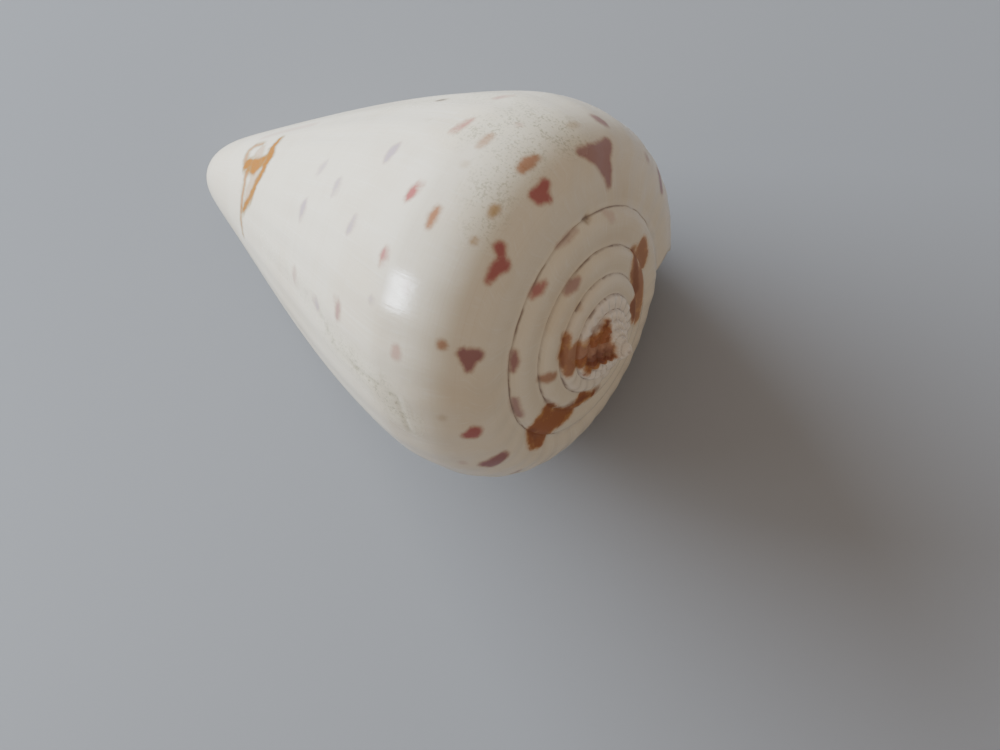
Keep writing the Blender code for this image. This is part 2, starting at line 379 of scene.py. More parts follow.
def makeShellTree(material):
    profileGroup = makeProfileGroup()
    pointGroup = makePointGroup(profileGroup)
    tree = bpy.data.node_groups.new("coneShellCoil", "GeometryNodeTree")
    addSocket(tree, "Geometry", "INPUT", "NodeSocketGeometry")
    coilInputs(tree)
    addSocket(tree, "Lip Bulge", "INPUT", default=coilGrain["lipBulge"])
    addSocket(tree, "Weld Distance", "INPUT", default=coilGrain["weld"])
    addSocket(tree, "Geometry", "OUTPUT", "NodeSocketGeometry")
    given = {out.name: Flow(tree, out) for out in tree.nodes.new("NodeGroupInput").outputs if out.name}
    sizes = {name: given[name] for name in coil}

    steps = coilGrain["stepsPerTurn"]
    band = coilGrain["bandColumns"]
    side = coilGrain["sideColumns"]
    tip = coilGrain["tipColumns"]
    lip = coilGrain["lipColumns"]
    corner = given["Hollow Corner"]
    deep = given["Hollow Turns"]

    def spot(turn, station, inset=0.0, ahead=0.0):
        values = {"Turn": turn, "Station": station, "Inset": inset, "Ahead": ahead, **sizes}
        return useGroup(tree, pointGroup, values)["Point"]

    def bareAt(turn):
        return useGroup(tree, profileGroup, {"Turn": turn, "Station": 0.5, **sizes})["Bare Station"]

    def hollowEnd(turn):
        return 1.0 + given["Hollow End"] - given["End Retreat"] * (turn - 1.0).most(0.0)

    # The four stretches of a profile row, as stations from a share v of the stretch
    def bandStation(turn, v):
        return bareAt(turn) * v

    def underStation(turn, v):
        bare = bareAt(turn)
        return bare + (corner - bare) * v

    def sideStation(turn, v):
        crowded = 0.5 - (v * math.pi).calc("COSINE") * 0.5
        crowding = coilGrain["sideCrowding"]
        spread = v * (1.0 - crowding) + crowded * crowding
        return corner + (hollowEnd(turn) - corner) * spread

    def tipStation(turn, v):
        end = hollowEnd(turn)
        return end + (2.0 - end) * (v * (math.pi / 2)).calc("SINE")

    def radiusAt(turn, station):
        return useGroup(tree, profileGroup, {"Turn": turn, "Station": station, **sizes})["Radius"]

    def outerSheet(turns, stationOf):
        def build(u, v):
            turn = u * turns
            station = stationOf(turn, v)
            return spot(turn, station), turn, station, 0.0
        return build

    def wallAt(turn, station):
        full = given["Wall"] + (given["Inner Wall"] - given["Wall"]) * turn.smooth()
        near = (turn / given["Lip Taper"]).smooth()
        wall = given["Lip Edge"] + (full - given["Lip Edge"]) * near
        room = radiusAt(turn, station.most(1.0)) - radiusAt(turn + 1.0, station.most(1.0))
        return wall.least(given["Gap Share"] * room)

    def innerPoint(turn, v, stationOf, join):
        # the hollow's outer wall. It joins the hollow's floor at both edges and at its deep end
        station = stationOf(turn, v)
        floorStation = sideStation(turn + 1.0, v) if stationOf is sideStation else corner
        sinking = (turn - deep + coilGrain["sinkTurns"]).smooth(0.0, coilGrain["sinkTurns"])
        joined = 1.0 - (1.0 - join) * (1.0 - sinking)
        wallPoint = spot(turn, station, wallAt(turn, station))
        return mixPoints(tree, joined, wallPoint, spot(turn + 1.0, floorStation)), station

    def innerSheet(stationOf, joinOf):
        def build(u, v):
            turn = u * deep
            point, station = innerPoint(turn, v, stationOf, joinOf(v))
            return point, turn, station, 1.0
        return build

    def cornerJoin(v):
        return (1.0 - v) ** coilGrain["cornerPower"]

    def endJoin(v):
        return v.smooth(coilGrain["endJoinFrom"], 1.0)

    def lipSheet(stationOf, innerOf):
        def build(u, v):
            zero = u * 0.0
            bulge = (u * math.pi).calc("SINE") * given["Lip Bulge"]
            if stationOf is bandStation:               # no bulge where the lip meets the suture
                bulge = bulge * (v * coilGrain["bulgeRise"]).least(1.0)
            station = stationOf(zero, v)
            outside = spot(zero, station, 0.0, bulge)
            point = mixPoints(tree, u, outside, innerOf(zero, v))
            return point, zero, station, u
        return build

    def olderRow(stationOf):
        return lambda zero, v: spot(zero + 1.0, stationOf(zero + 1.0, v))

    def hollowRow(stationOf, joinOf):
        return lambda zero, v: innerPoint(zero, v, stationOf, joinOf(v))[0]

    def apexCap(u, v):
        # the last turn's inner edge drawn in to the axis
        top = given["Spire Turns"]
        turn = top - 1.0 + u
        station = bandStation(top, v)
        rim, rimDepth = sutureAt(given, turn)
        start, startDepth = sutureAt(given, top - 1.0)
        end = useGroup(tree, profileGroup, {"Turn": top, "Station": station, **sizes})
        share = rim / start
        endDepth = sutureAt(given, top)[1]
        sag = rimDepth - endDepth - (startDepth - endDepth) * share
        height = -endDepth + (end["Height"] + endDepth) * share - sag * v
        angle = turn * (2 * math.pi)
        radius = end["Radius"] * share
        point = vectorOf(tree, radius * angle.calc("COSINE"), radius * angle.calc("SINE"), height)
        return point, turn, station, 0.0

    spireTurns = int(coil["Spire Turns"])
    deepSteps = round(coil["Hollow Turns"] * steps)
    sheets = [
        sheet(tree, spireTurns * steps, band, True, outerSheet(given["Spire Turns"], bandStation)),
        sheet(tree, steps, band, True, outerSheet(1.0, underStation)),
        sheet(tree, steps + deepSteps, side, True, outerSheet(deep + 1.0, sideStation)),
        sheet(tree, steps, tip, True, outerSheet(1.0, tipStation)),
        sheet(tree, deepSteps, band, False, innerSheet(underStation, cornerJoin)),
        sheet(tree, deepSteps, side, False, innerSheet(sideStation, endJoin)),
        sheet(tree, lip, band, False, lipSheet(bandStation, olderRow(underStation))),
        sheet(tree, lip, band, False, lipSheet(underStation, hollowRow(underStation, cornerJoin))),
        sheet(tree, lip, side, False, lipSheet(sideStation, hollowRow(sideStation, endJoin))),
        sheet(tree, lip, tip, False, lipSheet(tipStation, olderRow(tipStation))),
        sheet(tree, steps, band, True, apexCap),
    ]

    join = tree.nodes.new("GeometryNodeJoinGeometry")
    for part in reversed(sheets):
        tree.links.new(part, join.inputs[0])
    weld = tree.nodes.new("GeometryNodeMergeByDistance")
    tree.links.new(join.outputs[0], weld.inputs["Geometry"])
    feed(tree, weld.inputs["Distance"], given["Weld Distance"])
    real = tree.nodes.new("GeometryNodeRealizeInstances")
    tree.links.new(weld.outputs[0], real.inputs[0])
    dress = tree.nodes.new("GeometryNodeSetMaterial")
    dress.inputs["Material"].default_value = material
    tree.links.new(real.outputs[0], dress.inputs["Geometry"])
    out = tree.nodes.new("NodeGroupOutput")
    tree.links.new(dress.outputs[0], out.inputs["Geometry"])
    return tree


def makeShell(material):
    tree = makeShellTree(material)
    holder = bpy.data.objects.new("coilHolder", bpy.data.meshes.new("coilHolder"))
    bpy.context.collection.objects.link(holder)
    modifier = holder.modifiers.new("coneShellCoil", "NODES")
    modifier.node_group = tree
    wanted = {**coil, "Lip Bulge": coilGrain["lipBulge"], "Weld Distance": coilGrain["weld"]}
    for socket in tree.interface.items_tree:
        if socket.in_out == "INPUT" and socket.name in wanted:
            modifier[socket.identifier] = wanted[socket.name]
    plain = bpy.data.meshes.new_from_object(holder.evaluated_get(bpy.context.evaluated_depsgraph_get()))
    bpy.data.objects.remove(holder)

    # lay it down as the CAD node lies, and fit it into the same box
    rise = math.radians(coilGrain["axisRise"])
    lipTurn = Matrix.Rotation(math.radians(coilGrain["lipFromDown"]), 4, "Z")
    plain.transform(Matrix.Rotation(math.pi / 2 - rise, 4, "Y") @ lipTurn)
    points = readVectors(plain, "co")
    low, high = points.min(axis=0), points.max(axis=0)
    boxLow, boxHigh = (np.array(corner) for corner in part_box("shell"))
    boxLow += coilGrain["fitMargin"]
    boxHigh -= coilGrain["fitMargin"]
    shrink = min(1.0, ((boxHigh - boxLow) / (high - low)).min())
    middle = (boxLow + boxHigh) / 2
    offset = middle - shrink * (low + high) / 2
    offset[2] = boxLow[2] - shrink * low[2]
    plain.transform(Matrix.Translation(offset) @ Matrix.Scale(shrink, 4))
    plain.name = "coneShell"
    plain.shade_smooth()
    shell = bpy.data.objects.new("coneShell", plain)
    bpy.context.collection.objects.link(shell)
    triangles = len(plain.loops) - 2 * len(plain.polygons)
    print("shell coiled:", len(plain.vertices), "points,", triangles, "triangles")
    print("shell laid down, scaled by", round(shrink, 4))
    return shell


def readVectors(mesh, name):
    flat = np.empty(len(mesh.vertices) * 3, dtype=np.float32)
    mesh.vertices.foreach_get(name, flat)
    return flat.reshape(-1, 3).astype(float)


# Marks: where each one lies in the photograph, carried onto the shell through the camera

# A spot is a colour, a strength, a middle and arms that run out from it. Each place is (x, y, reach), in
# pixels of the photograph
spotColours = {
    "rose": (0.36, 0.065, 0.065), "plum": (0.27, 0.085, 0.09), "rust": (0.34, 0.13, 0.055),
    "violet": (0.37, 0.27, 0.31), "ochre": (0.35, 0.20, 0.07), "dark": (0.10, 0.065, 0.04),
}
spots = {
    "triangle": ("plum", 0.82, [(601, 156, 15), (581, 152, 6), (608, 143, 7), (609, 186, 4), (606, 168, 11),
                                (592, 152, 10)]),
    "heart": ("rose", 0.95, [(540, 195, 10), (545, 183, 6), (534, 195, 6), (549, 199, 5)]),
    "shoulderPair": ("rose", 0.95, [(498, 268, 8), (500, 258, 5), (505, 265, 7), (489, 280, 5)]),
    "shoulderPairTop": ("rose", 0.95, [(500, 247, 7), (501, 256, 5)]),
    "shoulderWedge": ("plum", 0.95, [(470, 358, 11), (463, 354, 7), (478, 356, 7), (469, 369, 5)]),
    "lowerDot": ("rose", 0.95, [(473, 433, 10), (467, 435, 6)]),
    "lowestBar": ("plum", 0.95, [(494, 462, 11), (484, 464, 6), (501, 458, 9)]),
    "lowestDot": ("plum", 0.6, [(518, 471, 4), (513, 473, 3)]),
    "lowestFaint": ("rose", 0.3, [(463, 463, 5)]),
    "sideDiagonal": ("rose", 1.0, [(413, 191, 7.5), (407, 198, 5), (420, 184, 5)]),
    "upperDiagonal": ("rose", 0.75, [(461, 126, 7), (453, 132, 5), (470, 120, 5)]),
    "upperStreak": ("rose", 0.5, [(503, 97, 6), (496, 98, 5), (511, 95.5, 5)]),
    "upperDot": ("dark", 0.9, [(440, 100, 5.5), (443, 99.5, 5)]),
    "upperDotLeft": ("dark", 0.4, [(427, 120, 4)]),
    "upperSmudge": ("ochre", 0.4, [(571, 126, 5), (577, 124, 4)]),
    "upperFaint": ("rose", 0.3, [(519, 125, 4.5)]),
    "upperPale": ("ochre", 0.35, [(465, 164, 5)]),
    "smallPink": ("rust", 0.65, [(485, 141, 6), (480, 146, 4.5), (490, 135, 4.5)]),
    "blurredRust": ("rust", 0.9, [(528, 163, 8), (522, 169, 6), (536, 158, 5)]),
    "backRust": ("plum", 0.8, [(599, 120, 7.5), (604, 123, 6), (594, 117, 5)]),
    "edgeDot": ("plum", 0.5, [(647, 158, 5.5)]),
    "edgeBar": ("plum", 0.9, [(660, 180, 6), (662, 189, 5), (658, 171, 5)]),
    "sideRust": ("rust", 0.95, [(433, 217, 6), (437, 209, 5), (429, 225, 4.5)]),
    "ochreDot": ("ochre", 0.9, [(495, 209, 6), (491, 214, 4.5)]),
    "paleBrown": ("ochre", 0.8, [(474, 241, 5)]),
    "sidePink": ("rose", 0.9, [(384, 257, 7), (386, 250, 5), (382, 263, 5)]),
    # painted shade: a dark spot in the pit, for the shade inside it
    "pitShade": ("dark", 0.9, [(586, 220, 3.5), (588, 217, 3)]),
    "highlightPink": ("rose", 0.3, [(406, 285, 6), (405, 291, 5)]),
    "lowPink": ("rose", 0.5, [(396, 354, 7), (396, 348, 5)]),
    "lowRust": ("rust", 0.8, [(442, 345, 6)]),
    "flankBar": ("plum", 0.75, [(338, 309, 6.5), (336, 300, 5), (338, 318, 5)]),
    "flankFaint": ("violet", 0.6, [(372, 300, 5)]),
    "faintLow": ("ochre", 0.3, [(442, 418, 5)]),
    "violetA": ("violet", 0.85, [(392, 152, 6.5), (397, 145, 5), (387, 160, 5)]),
    "violetB": ("violet", 0.75, [(337, 187, 6), (339, 181, 4.5), (334, 194, 4.5)]),
    "violetC": ("violet", 0.6, [(322, 167, 6), (325, 162, 4.5), (319, 172, 4.5)]),
    "violetD": ("violet", 0.85, [(303, 210, 6), (305, 202, 4.5), (301, 219, 4.5)]),
    "violetE": ("violet", 0.75, [(352, 225, 6), (355, 218, 4.5), (349, 231, 4.5)]),
    "violetF": ("plum", 0.45, [(295, 276, 6), (294, 268, 4.5), (296, 284, 4.5)]),
    "violetG": ("violet", 0.7, [(315, 300, 6), (317, 307, 5)]),
    "sutureRose": ("rose", 0.85, [(538, 289, 7), (532, 295, 4), (544, 284, 4)]),
    "sutureUpper": ("plum", 0.55, [(566, 238, 5), (557, 246, 3.5), (575, 230, 3.5)]),
    "sutureTop": ("rose", 0.25, [(611, 216, 7), (603, 212, 4)]),
    "sutureDark": ("plum", 0.9, [(514, 361, 5.5), (514, 353, 4), (512, 370, 4)]),
    "sutureLow": ("plum", 0.75, [(516, 408, 5.5), (515, 400, 4), (520, 416, 4)]),
    "rampRose": ("plum", 0.7, [(573, 285, 7), (567, 292, 4.5), (578, 279, 4)]),
    "rampRust": ("rust", 0.85, [(548, 378, 7), (541, 379, 5), (555, 376, 4.5)]),
    "rampSmall": ("ochre", 0.5, [(579, 308, 3.5)]),
}

# A run is a strength and a line of points with a reach each, joined one to the next
spireStain = {
    "lowerPatch": (1.0, [(592, 394, 5), (580, 400, 9), (567, 410, 13), (555, 418, 16), (545, 428, 17),
                         (538, 437, 16)]),
    "lowerPatchSide": (1.0, [(549, 408, 9), (541, 420, 11), (534, 430, 10), (533, 440, 9)]),
    "rightStrip": (0.85, [(643, 241, 6), (641, 250, 12), (640, 262, 13), (640, 276, 13), (639, 290, 12),
                          (638, 304, 10), (636, 318, 8)]),
    "rightStripIn": (0.85, [(633, 251, 8), (635, 262, 9), (635, 276, 9), (635, 290, 9), (634, 304, 8),
                            (634, 318, 6)]),
    "centrePatch": (0.9, [(566, 338, 6), (565, 356, 9), (571, 370, 9)]),
    "centreFan": (1.0, [(582, 362, 10), (590, 350, 12), (602, 338, 10), (607, 324, 6)]),
    "centreFoot": (1.0, [(590, 366, 10), (602, 361, 10), (611, 357, 7)]),
    "centreJoin": (0.85, [(572, 354, 12), (586, 352, 14), (598, 350, 14), (606, 351, 11)]),
}
# darker brown at the edges of the spire's rust patches; the run along the deep groove at the spire's right
# paints the shade in that groove
spireDarkAndShade = {
    "grooveShade": (0.6, [(632, 250, 4), (635, 262, 4), (636, 276, 5), (635, 290, 6), (634, 304, 6),
                        (634, 316, 4)]),
    "lowerEdge": (0.7, [(546, 400, 3), (557, 408, 3.5), (572, 404, 3.5), (588, 396, 3), (598, 388, 3)]),
    "lowerTip": (0.5, [(530, 430, 4), (536, 438, 4)]),
    "fanEdge": (0.8, [(590, 362, 6), (600, 358, 9), (608, 355, 7)]),
    "fanTop": (0.8, [(592, 333, 3), (600, 326, 3), (609, 322, 3)]),
    "fanLeft": (0.5, [(562, 336, 2.5), (560, 350, 2.5), (562, 366, 2.5)]),
}
tipStain = {
    "arc": (0.8, [(263, 144, 3), (255, 146, 3.5), (249, 151, 3.5), (246, 158, 4), (246, 166, 5)]),
    "blob": (1.0, [(248, 164, 8), (256, 166, 9), (265, 159, 8)]),
    "rightLine": (1.0, [(280, 139, 4), (273, 147, 6), (269, 158, 6), (263, 170, 5.5), (256, 184, 5),
                        (250, 198, 5), (243, 210, 4)]),
    "leftLine": (0.85, [(247, 172, 5), (244, 186, 4), (242, 202, 4), (241, 218, 3.5), (243, 234, 3)]),
    "fill": (0.45, [(260, 151, 8), (254, 178, 9), (247, 198, 8)]),
}
dirtPatches = {
    "shoulder": (0.9, [(470, 130, 20), (520, 120, 32), (560, 130, 26)]),
    "shoulderLow": (0.7, [(520, 150, 30), (490, 190, 24), (480, 230, 14)]),
    "topEdge": (0.6, [(400, 105, 10), (450, 98, 12), (520, 100, 14)]),
    "flank": (1.0, [(330, 335, 10), (352, 360, 13), (385, 395, 17), (405, 420, 14)]),
    "flankUp": (0.5, [(300, 285, 6), (318, 310, 8)]),
    "tipSide": (0.35, [(262, 240, 6), (285, 270, 8)]),
}
blushRim = {"rim": (0.4, [(262, 138, 4), (285, 131, 5), (315, 124, 5)])}
scarLine = {
    "scar": (1.0, [(313, 297, 2), (323, 320, 2), (338, 350, 2.5), (372, 380, 2.5), (397, 397, 2),
                   (410, 430, 2)]),
}
chip = {"pit": (1.0, [(585, 219, 4), (589, 217, 3)])}
hiddenSpots = {
    "seed": 11, "count": 30, "tries": 4000, "spacing": 0.0075,
    "turnedAway": 0.12,                        # how far a point must face away from the camera, as a cosine
    "reach": (0.0004, 0.0010), "stretch": 1.6, "tail": 0.5, "headReach": 0.6, "tailReach": 0.5,
    "power": (0.35, 0.9), "tints": ("rose", "plum", "rust", "rose", "violet"),
}
noMark = -1.0                                  # depth in metres where no mark reaches


def makeCaster(shell):
    evaluated = bpy.context.evaluated_depsgraph_get()
    start = Vector(photoView["place"])

    def cast(x, y, reachPixels):
        # point of the shell behind a pixel, and the reach in metres there
        hit, point, _, _ = shell.ray_cast(start, pixelRay(x, y), depsgraph=evaluated)
        if not hit:
            return None
        return point, reachPixels * (point - start).length / focalPixels()
    return cast


def segmentField(points, segments):
    # how deep each point lies inside the segments, in metres. Negative outside
    field = np.full(len(points), noMark)
    for (a, reachA), (b, reachB) in segments:
        a, b = np.array(a), np.array(b)
        along = b - a
        length = max(float(along @ along), 1e-12)
        share = np.clip((points - a) @ along / length, 0.0, 1.0)
        nearest = a + share[:, None] * along
        depth = reachA + (reachB - reachA) * share - np.linalg.norm(points - nearest, axis=1)
        field = np.maximum(field, depth)
    return field


def castAll(cast, pixels):
    found = [cast(*pixel) for pixel in pixels]
    return [entry for entry in found if entry]


def runField(cast, points, runs):
    # depth inside the nearest of several runs, in metres, and that run's strength
    best = np.full(len(points), noMark)
    strength = np.zeros(len(points))
    for power, pixels in runs.values():
        found = castAll(cast, pixels)
        segments = list(zip(found, found[1:]))
        depth = segmentField(points, segments)
        closer = depth > best
        best[closer] = depth[closer]
        strength[closer] = power
    return best, strength


def spotFields(cast, points, normals, turn, inside):
    # depth inside the nearest spot, in metres, and its colour with its strength as alpha
    best = np.full(len(points), noMark)
    colour = np.ones((len(points), 4))

    def lay(segments, tint, power):
        depth = segmentField(points, segments)
        closer = depth > best
        best[closer] = depth[closer]
        colour[closer] = (*tint, power)

    for tintName, power, pixels in spots.values():
        found = castAll(cast, pixels)
        if not found:
            continue
        arms = [(found[0], end) for end in found[1:]] or [(found[0], found[0])]
        lay(arms, spotColours[tintName], power)

    # the side away from the camera carries spots of the same kinds
    rng = np.random.default_rng(hiddenSpots["seed"])
    away = normals @ np.array(viewAxes()[2]) > hiddenSpots["turnedAway"]
    outside = np.nonzero(away & (turn < 1.0) & (inside < 0.5))[0]
    chosen = []
    for _ in range(hiddenSpots["tries"]):
        if len(chosen) == hiddenSpots["count"]:
            break
        k = outside[rng.integers(len(outside))]
        near = [np.linalg.norm(points[k] - points[c]) for c in chosen]
        if not near or min(near) > hiddenSpots["spacing"]:
            chosen.append(k)
    names = hiddenSpots["tints"]
    for k in chosen:
        reach = rng.uniform(*hiddenSpots["reach"])
        lean = np.cross(normals[k], rng.normal(size=3))
        lean *= reach * hiddenSpots["stretch"] / np.linalg.norm(lean)
        ends = [
            (points[k] + lean, reach * hiddenSpots["headReach"]),
            (points[k] - lean * hiddenSpots["tail"], reach * hiddenSpots["tailReach"]),
        ]
        tint = spotColours[names[rng.integers(len(names))]]
        lay([((points[k], reach), end) for end in ends], tint, rng.uniform(*hiddenSpots["power"]))
    return best, colour


def readFloats(mesh, name):
    values = np.empty(len(mesh.vertices), dtype=np.float32)
    mesh.attributes[name].data.foreach_get("value", values)
    return values


def storeFloats(mesh, name, values):
    layer = mesh.attributes.new(name, "FLOAT", "POINT")
    layer.data.foreach_set("value", values.astype(np.float32))


def growthOfPoints(mesh):
    # turn and station of each point, from the corners that share it
    loops = np.empty(len(mesh.loops), dtype=np.int32)
    mesh.loops.foreach_get("vertex_index", loops)
    flat = np.empty(len(mesh.loops) * 2, dtype=np.float32)
    mesh.attributes["growth"].data.foreach_get("vector", flat)
    unset = 99.0                               # more than any turn or station
    turn = np.full(len(mesh.vertices), unset)
    station = np.full(len(mesh.vertices), unset)
    np.minimum.at(turn, loops, flat[0::2])
    np.minimum.at(station, loops, flat[1::2])
    return turn, station


# heights and depths in metres, places in turns and stations of the coil
relief = {
    "pitDepth": 0.00035, "pitSlope": 0.0004,
    "scarDepth": 0.00009, "scarWidth": 0.0005, "scarInset": 0.0002,
    "growthWave": 0.00004, "growthWaves": 31.0, "waveSway": 2.2, "waveSways": 9.0,
    "smoothLip": 0.02, "smoothLipFade": 0.05,  # no waves right at the lip
    "smoothTip": 1.75, "smoothTipFade": 0.35,  # nor near the front tip
    "beadHeight": 0.00011, "beadsPerTurn": 22.0, "beadTurn": 4.2, "beadSlope": 0.0004,
    "coveredFrom": 0.97,                       # turn from which a newer whorl lies over the band
    "dirtFade": 3.0, "sutureReach": 5.0,       # mm
}


def sutureDistance(turn, station):
    # rough distance from the nearest suture along the band, in metres
    inner = coil["Suture Radius"] * coil["Suture Shrink"] ** -turn
    outer = inner * coil["Suture Shrink"]
    wide = coil["Shoulder Radius"] * coil["Shoulder Shrink"] ** -turn
    cover = np.clip((outer - inner) / (wide - inner), 0, 1)
    share = np.cos(np.clip(1 - station, 0, 1) * math.pi / 2) ** coil["Shoulder Round"]
    fromInner = (wide - inner) * share
    far = 1.0
    fromOuter = np.where(turn > relief["coveredFrom"], np.abs(wide - inner) * np.abs(cover - share), far)
    return np.where(station <= 1.0, np.minimum(fromInner, fromOuter), far)


def markShell(shell, cast):
    mesh = shell.data
    points = readVectors(mesh, "co")
    normals = readVectors(mesh, "normal")
    inside = readFloats(mesh, "inside")
    turn, station = growthOfPoints(mesh)
    outer = (inside < 0.5).astype(float)

    # depths are kept in mm
    spotDepth, spotTint = spotFields(cast, points, normals, turn, inside)
    storeFloats(mesh, "spotDepth", np.where(outer > 0, spotDepth, noMark) * 1000)
    layer = mesh.attributes.new("spotTint", "FLOAT_COLOR", "POINT")
    layer.data.foreach_set("color", spotTint.astype(np.float32).ravel())
    for name, runs in (("spireStain", spireStain), ("spireDarkAndShade", spireDarkAndShade), ("blush", blushRim)):
        depth, power = runField(cast, points, runs)
        storeFloats(mesh, name, depth * 1000)
        storeFloats(mesh, name + "Power", power * outer)
    dirt, power = runField(cast, points, dirtPatches)
    storeFloats(mesh, "dirt", np.clip(dirt * 1000 / relief["dirtFade"] + 0.5, 0, 1) * power * outer)
    away = sutureDistance(turn, station)
    storeFloats(mesh, "suture", np.clip(away * 1000, 0, relief["sutureReach"]))
    scar, _ = runField(cast, points, scarLine)
    storeFloats(mesh, "scar", scar * 1000)

    # low relief that the eye can see: pit, scar, growth waves and beads on the oldest whorls
    pit, _ = runField(cast, points, chip)
    push = -relief["pitDepth"] * np.clip(pit / relief["pitSlope"] + 0.5, 0, 1)
    scarShare = np.clip(1 + (scar - relief["scarInset"]) / relief["scarWidth"], 0, 1)
    push -= relief["scarDepth"] * scarShare * outer
    sway = relief["waveSway"] * np.sin(relief["waveSways"] * turn)
    wave = np.sin(2 * math.pi * relief["growthWaves"] * turn + sway)
    fromLip = np.clip((turn - relief["smoothLip"]) / relief["smoothLipFade"], 0, 1)
    fromTip = np.clip((relief["smoothTip"] - station) / relief["smoothTipFade"], 0, 1)
    push += relief["growthWave"] * wave * outer * fromLip * fromTip * (turn < 1.0)
    bead = np.sin(2 * math.pi * relief["beadsPerTurn"] * turn) * np.clip(turn - relief["beadTurn"] + 1, 0, 1)
    push += relief["beadHeight"] * bead * outer * np.clip(away / relief["beadSlope"], 0, 1)
    mesh.vertices.foreach_set("co", (points + normals * push[:, None]).astype(np.float32).ravel())
    mesh.update()
    print("marks laid:", len(spots), "seen spots")


# Material: cream lime with faded spots, rust stains and grime, and dark lines in the grooves that are partly
# painted shade

finish = {
    "cream": (0.74, 0.65, 0.51, 1), "creamWarm": (0.67, 0.55, 0.40, 1), "creamPale": (0.80, 0.75, 0.66, 1),
    "stain": (0.30, 0.078, 0.008, 1), "stainPale": (0.44, 0.19, 0.035, 1),
    # the stain's dark colour serves both the dark brown at the stains' edges and painted shade in the spire's
    # deep groove
    "stainDarkAndShade": (0.15, 0.028, 0.012, 1), "ochre": (0.33, 0.115, 0.003, 1), "olive": (0.26, 0.185, 0.06, 1),
    # the suture line colour is partly the brown line in the sutures and partly painted shade in their grooves
    "grime": (0.22, 0.20, 0.11, 1), "grimePale": (0.55, 0.50, 0.33, 1), "sutureLineAndShade": (0.17, 0.10, 0.08, 1),
    "blush": (0.55, 0.33, 0.28, 1), "bead": (0.80, 0.72, 0.66, 1), "spotRim": (0.36, 0.16, 0.07, 1),
    "fineScale": 2600.0, "middleScale": 700.0, "broadScale": 90.0, "grainScale": 3300.0,
    "lineStretch": (300.0, 4.0),               # growth lines run across the coil, in turns and stations
    "stripeStretch": (4.0, 90.0),              # warm stripes run along it
    "warmShare": 0.5, "lineShare": 0.35, "stripeShare": 0.25,   # how much of each layer shows
    "dirtShare": 0.22, "speckShare": 0.6, "scarShare": 0.3,
    "stainShare": 0.92, "darkAndShadeShare": 0.75,
    "spotRag": (0.5, 0.25), "stainRag": (1.1, 0.4), "darkRag": (0.8, 0.0),   # mm, coarse and fine
    "spotSoft": 0.42, "stainSoft": (-0.35, 0.4), "ochreSoft": (-0.5, 0.4),   # mm, where an edge fades
    "wornTurns": (2.6, 4.6), "cleanTurns": (4.0, 5.5),          # turns back from the lip
    "sutureWidth": 0.18,                       # mm
    "roughness": 0.24, "dirtDull": 0.2, "rustDull": 0.4, "leastRough": 0.15, "mostRough": 0.9,
    "bumpStrength": 0.5, "bumpDistance": 0.0001,
}


class Paint:
    # adds nodes to a material, one call for each kind of layer
    def __init__(self, name):
        self.material = bpy.data.materials.new(name)
        self.material.use_nodes = True
        self.tree = self.material.node_tree
        self.shader = self.tree.nodes["Principled BSDF"]
        self.place = Flow(self.tree, self.tree.nodes.new("ShaderNodeTexCoord").outputs["Object"])

    def value(self, name):
        node = self.tree.nodes.new("ShaderNodeAttribute")
        node.attribute_name = name
        return Flow(self.tree, node.outputs["Fac"])

    def colour(self, name):
        node = self.tree.nodes.new("ShaderNodeAttribute")
        node.attribute_name = name
        return Flow(self.tree, node.outputs["Color"]), Flow(self.tree, node.outputs["Alpha"])

    def noise(self, scale, detail=2.0, rough=0.5, at=None):
        node = self.tree.nodes.new("ShaderNodeTexNoise")
        feed(self.tree, node.inputs["Vector"], at or self.place)
        for label, amount in (("Scale", scale), ("Detail", detail), ("Roughness", rough)):
            node.inputs[label].default_value = amount
        return Flow(self.tree, node.outputs["Fac"])

    def layer(self, under, over, amount):
        node = self.tree.nodes.new("ShaderNodeMix")
        node.data_type = "RGBA"                # its sockets are 0 for the share, 6 and 7 for the colours
        feed(self.tree, node.inputs[0], amount)
        feed(self.tree, node.inputs[6], under)
        feed(self.tree, node.inputs[7], over)
        return Flow(self.tree, node.outputs[2])

    def run(self, ends):
        # depth inside a line of joined balls, in mm. The lines are too fine for the mesh's points
        deepest = None
        for (a, reachA), (b, reachB) in zip(ends, ends[1:]):
            along = b - a
            offset = self.vector("SUBTRACT", self.place, tuple(a))
            share = self.vector("DOT_PRODUCT", offset, tuple(along / along.length_squared), "Value").clamped()
            miss = self.vector("SUBTRACT", offset, self.vector("SCALE", tuple(along), scale=share))
            gap = self.vector("LENGTH", miss, out="Value")
            depth = ((reachB - reachA) * share + reachA - gap) * 1000.0
            deepest = depth if deepest is None else deepest.most(depth)
        return deepest

    def vector(self, operation, first, second=None, out="Vector", scale=None):
        node = self.tree.nodes.new("ShaderNodeVectorMath")
        node.operation = operation
        feed(self.tree, node.inputs[0], first)
        if scale is None:
            feed(self.tree, node.inputs[1], second)
        else:
            feed(self.tree, node.inputs["Scale"], scale)
        return Flow(self.tree, node.outputs[out])


